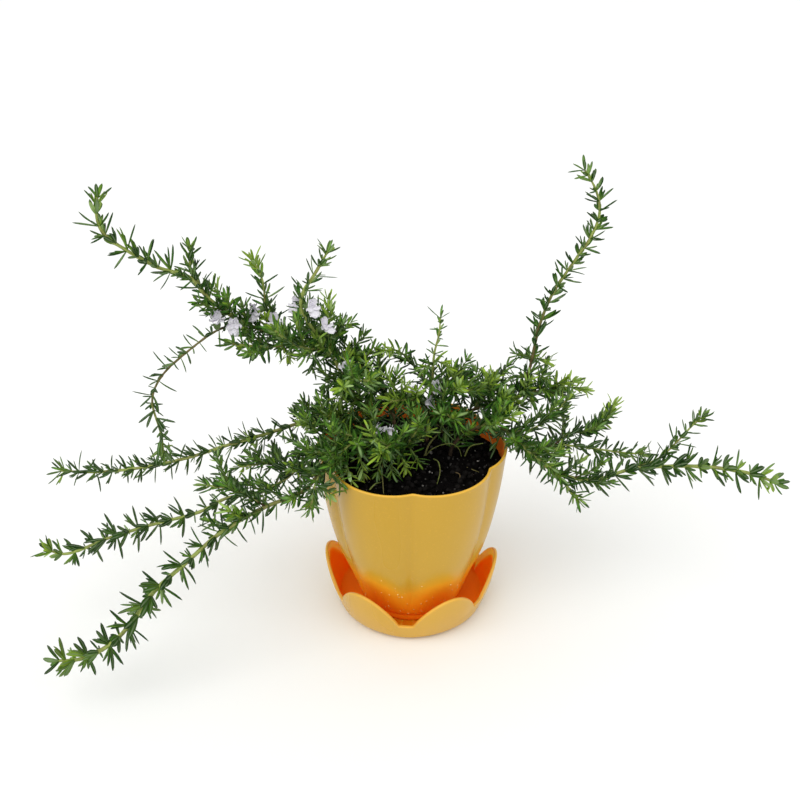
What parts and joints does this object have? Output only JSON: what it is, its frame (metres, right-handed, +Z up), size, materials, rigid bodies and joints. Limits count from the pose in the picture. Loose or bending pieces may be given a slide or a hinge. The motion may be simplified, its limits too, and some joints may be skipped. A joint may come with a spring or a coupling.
{
  "type": "potted rosemary plant",
  "caption": "Trailing rosemary with long leafy stems and small pale flowers, rooted in a six-lobed plastic pot on a petalled saucer.",
  "frame": {"origin": "centre of the flat underside of the saucer, on the surface that the plant stands on", "axes": "+Z up along the pot's axis; +X to the right as seen from the front, along the plant's longest spread; -Y towards the viewer; one upright crease of the pot faces -Y"},
  "size_m": [0.5508, 0.2011, 0.3427],
  "materials": {
    "saucer_plastic": "satin, slightly translucent yellow-orange",
    "pot_plastic": "satin, slightly translucent yellow-orange",
    "potting_soil": "dark, granular",
    "rosemary_stem": "green needle leaves on lime to brown stems",
    "rosemary_flower": "matt pale lilac petals"
  },
  "bodies": {
    "root": {"saucer": "saucer_plastic", "pot": "pot_plastic", "soil": "potting_soil", "stem_upper_left": "rosemary_stem", "stem_inner_left": "rosemary_stem", "stem_mid_left": "rosemary_stem", "stem_lower_left": "rosemary_stem", "stem_front_left": "rosemary_stem", "stem_center": "rosemary_stem", "stem_front_center": "rosemary_stem", "stem_tall_right": "rosemary_stem", "stem_long_right": "rosemary_stem", "flower_1": "rosemary_flower", "flower_2": "rosemary_flower", "flower_3": "rosemary_flower", "flower_4": "rosemary_flower", "flower_5": "rosemary_flower", "flower_6": "rosemary_flower", "flower_7": "rosemary_flower", "flower_8": "rosemary_flower", "flower_9": "rosemary_flower", "flower_10": "rosemary_flower", "flower_11": "rosemary_flower", "flower_12": "rosemary_flower", "flower_13": "rosemary_flower", "flower_14": "rosemary_flower"}
  },
  "joints": []
}
